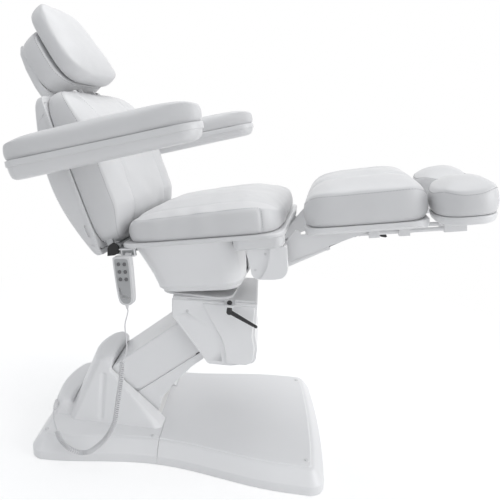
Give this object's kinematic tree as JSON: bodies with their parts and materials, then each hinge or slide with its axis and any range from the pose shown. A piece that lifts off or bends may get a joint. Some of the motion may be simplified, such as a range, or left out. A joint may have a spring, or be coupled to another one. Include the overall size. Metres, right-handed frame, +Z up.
{
  "type": "pedicure spa chair",
  "caption": "White electric pedicure chair with lift, swivel and tilt, reclining back, lifting arms, adjustable head rest, gas-spring leg rest, sliding foot pads and hand control.",
  "frame": {"origin": "on the floor, under the middle of the base cover", "axes": "+X to the foot end, +Y to the sitter's left, +Z up; the seat is turned 7.5 degrees from +X towards -Y"},
  "size_m": [1.2769, 0.8553, 1.318],
  "materials": {
    "cover": "satin",
    "shell": "satin",
    "leatherette": "satin",
    "white_metal": "satin",
    "frame_steel": "satin",
    "bright_steel": "satin",
    "dark_steel": "satin",
    "screw": "satin",
    "black_plastic": "satin",
    "black_rubber": "matte",
    "grey_plastic": "satin",
    "keys": "matte",
    "cord": "satin"
  },
  "bodies": {
    "base": {"base_frame": "frame_steel", "base_feet": "black_rubber", "front_cover": "cover", "rear_cover": "cover", "cover_screws": "screw", "control_box": "black_plastic", "mains_inlet": "black_plastic", "cord_gland": "shell", "lift_motor": "frame_steel", "cord_lead": "cord", "cord_coil": "cord", "cord_tail": "cord"},
    "lift_rod": {"lift_rod": "bright_steel"},
    "lift_arm": {"lift_arm_frame": "frame_steel", "arm_cover": "cover"},
    "lower_link": {"lower_link": "cover"},
    "lift_head": {"head_frame": "white_metal", "head_cover": "cover", "head_screws": "screw"},
    "lock_lever": {"lock_lever": "black_plastic"},
    "swivel": {"swivel_frame": "white_metal", "tilt_motor": "grey_plastic"},
    "tilt_rod": {"tilt_rod": "bright_steel"},
    "seat": {"seat_frame": "frame_steel", "seat_bowl": "cover", "seat_shell": "shell", "seat_cushion": "leatherette", "hinge_covers": "cover", "hinge_cover_screws": "screw", "hinge_boots": "black_rubber", "handset_hook": "white_metal", "back_motor": "grey_plastic"},
    "back_rod": {"back_rod": "bright_steel"},
    "back": {"back_frame": "frame_steel", "back_shell": "shell", "back_cushion": "leatherette"},
    "arm_right": {"arm_shell_right": "shell", "arm_pad_right": "leatherette"},
    "arm_left": {"arm_shell_left": "shell", "arm_pad_left": "leatherette"},
    "headrest_slide": {"headrest_bars": "bright_steel"},
    "headrest": {"headrest_shell": "shell", "headrest_cushion": "leatherette", "headrest_pad": "leatherette"},
    "leg_rest": {"leg_frame": "white_metal", "leg_cushion": "leatherette"},
    "spring_tube": {"spring_tube": "white_metal"},
    "spring_rod": {"spring_rod": "dark_steel"},
    "release_paddle": {"release_paddle": "black_plastic"},
    "foot_right": {"foot_plate_right": "white_metal", "foot_pad_right": "leatherette"},
    "foot_left": {"foot_plate_left": "white_metal", "foot_pad_left": "leatherette"},
    "handset": {"handset_body": "shell"},
    "button_1": {"button_1": "keys"},
    "button_2": {"button_2": "keys"},
    "button_3": {"button_3": "keys"},
    "button_4": {"button_4": "keys"},
    "button_5": {"button_5": "keys"},
    "button_6": {"button_6": "keys"}
  },
  "joints": [
    {"name": "lift", "type": "hinge", "parent": "base", "child": "lift_arm", "pos_m": [-0.178, 0, 0.195], "axis": [0, -1, 0], "range_deg": [-34, 3], "deforming": ["cord_lead"]},
    {"name": "lower_link_turn", "type": "hinge", "parent": "base", "child": "lower_link", "pos_m": [-0.178, 0, 0.125], "axis": [0, -1, 0], "range_deg": [-34, 3]},
    {"name": "head_level", "type": "hinge", "parent": "lift_arm", "child": "lift_head", "pos_m": [0.08133, 0, 0.39908], "axis": [0, -1, 0], "range_deg": [-3, 34]},
    {"name": "lift_motor_rod", "type": "slide", "parent": "base", "child": "lift_rod", "axis": [1, 0, 0], "range_m": [-0.088, 0.008]},
    {"name": "lock_lever_turn", "type": "hinge", "parent": "lift_head", "child": "lock_lever", "pos_m": [0.14933, -0.148, 0.47808], "axis": [0, 0, 1], "range_deg": [-70, 0]},
    {"name": "seat_swivel", "type": "hinge", "parent": "lift_head", "child": "swivel", "pos_m": [0.05833, 0, 0.47808], "axis": [0, 0, 1], "range_deg": [-80, 120]},
    {"name": "seat_tilt", "type": "hinge", "parent": "swivel", "child": "seat", "pos_m": [-0.00115, 0.00783, 0.55007], "axis": [-0.1305, -0.9914, 0], "range_deg": [-8, 5]},
    {"name": "tilt_motor_rod", "type": "slide", "parent": "swivel", "child": "tilt_rod", "axis": [0, 0, 1], "range_m": [-0.0197, 0.0123]},
    {"name": "back_recline", "type": "hinge", "parent": "seat", "child": "back", "pos_m": [-0.13687, 0.0257, 0.64329], "axis": [0.1305, 0.9914, 0], "range_deg": [-55, 2]},
    {"name": "back_motor_rod", "type": "slide", "parent": "seat", "child": "back_rod", "axis": [0.9811, -0.1292, 0.1444], "range_m": [-0.0022, 0.0573]},
    {"name": "arm_right_lift", "type": "hinge", "parent": "back", "child": "arm_right", "pos_m": [-0.3302, -0.30994, 0.87114], "axis": [-0.1305, -0.9914, 0], "range_deg": [0, 80]},
    {"name": "arm_left_lift", "type": "hinge", "parent": "back", "child": "arm_left", "pos_m": [-0.23675, 0.39994, 0.87114], "axis": [-0.1305, -0.9914, 0], "range_deg": [0, 80]},
    {"name": "headrest_height", "type": "slide", "parent": "back", "child": "headrest_slide", "axis": [-0.3601, 0.0474, 0.9317], "range_m": [0, 0.08]},
    {"name": "headrest_tilt", "type": "hinge", "parent": "headrest_slide", "child": "headrest", "pos_m": [-0.32101, 0.04994, 1.0646], "axis": [0.1305, 0.9914, 0], "range_deg": [-8, 35]},
    {"name": "leg_rest_lift", "type": "hinge", "parent": "seat", "child": "leg_rest", "pos_m": [0.27792, -0.02891, 0.62954], "axis": [-0.1305, -0.9914, 0], "range_deg": [-58, 5]},
    {"name": "spring_swing", "type": "hinge", "parent": "seat", "child": "spring_tube", "pos_m": [0.26075, -0.02665, 0.55425], "axis": [-0.1305, -0.9914, 0], "range_deg": [-52, 4.6]},
    {"name": "spring_travel", "type": "slide", "parent": "spring_tube", "child": "spring_rod", "axis": [0.8626, -0.1136, 0.4929], "range_m": [-0.0724, 0.0065]},
    {"name": "release_paddle_turn", "type": "hinge", "parent": "spring_rod", "child": "release_paddle", "pos_m": [0.50397, -0.05867, 0.68977], "axis": [-0.1305, -0.9914, 0], "range_deg": [0, 12], "stiffness_Nm_per_rad": 2},
    {"name": "foot_right_slide", "type": "slide", "parent": "leg_rest", "child": "foot_right", "axis": [0.9811, -0.1292, 0.1444], "range_m": [0, 0.15]},
    {"name": "foot_left_slide", "type": "slide", "parent": "leg_rest", "child": "foot_left", "axis": [0.9811, -0.1292, 0.1444], "range_m": [0, 0.15]},
    {"name": "handset_swing", "type": "hinge", "parent": "seat", "child": "handset", "pos_m": [-0.12301, -0.2182, 0.62872], "axis": [-0.9811, 0.1292, -0.1444], "range_deg": [0, 30]},
    {"name": "button_1_press", "type": "slide", "parent": "handset", "child": "button_1", "axis": [0.1305, 0.9914, 0], "range_m": [0, 0.0012], "stiffness_N_per_m": 800},
    {"name": "button_2_press", "type": "slide", "parent": "handset", "child": "button_2", "axis": [0.1305, 0.9914, 0], "range_m": [0, 0.0012], "stiffness_N_per_m": 800},
    {"name": "button_3_press", "type": "slide", "parent": "handset", "child": "button_3", "axis": [0.1305, 0.9914, 0], "range_m": [0, 0.0012], "stiffness_N_per_m": 800},
    {"name": "button_4_press", "type": "slide", "parent": "handset", "child": "button_4", "axis": [0.1305, 0.9914, 0], "range_m": [0, 0.0012], "stiffness_N_per_m": 800},
    {"name": "button_5_press", "type": "slide", "parent": "handset", "child": "button_5", "axis": [0.1305, 0.9914, 0], "range_m": [0, 0.0012], "stiffness_N_per_m": 800},
    {"name": "button_6_press", "type": "slide", "parent": "handset", "child": "button_6", "axis": [0.1305, 0.9914, 0], "range_m": [0, 0.0012], "stiffness_N_per_m": 800}
  ],
  "couplings": [
    {"joint": "lower_link_turn", "follows": "lift", "ratio": 1},
    {"joint": "head_level", "follows": "lift", "ratio": -1},
    {"joint": "lift_motor_rod", "follows": "lift", "m_per_rad": 0.1478},
    {"joint": "tilt_motor_rod", "follows": "seat_tilt", "m_per_rad": 0.1404},
    {"joint": "back_motor_rod", "follows": "back_recline", "m_per_rad": -0.0596},
    {"joint": "spring_swing", "follows": "leg_rest_lift", "ratio": 0.89},
    {"joint": "spring_travel", "follows": "leg_rest_lift", "m_per_rad": 0.0713}
  ]
}
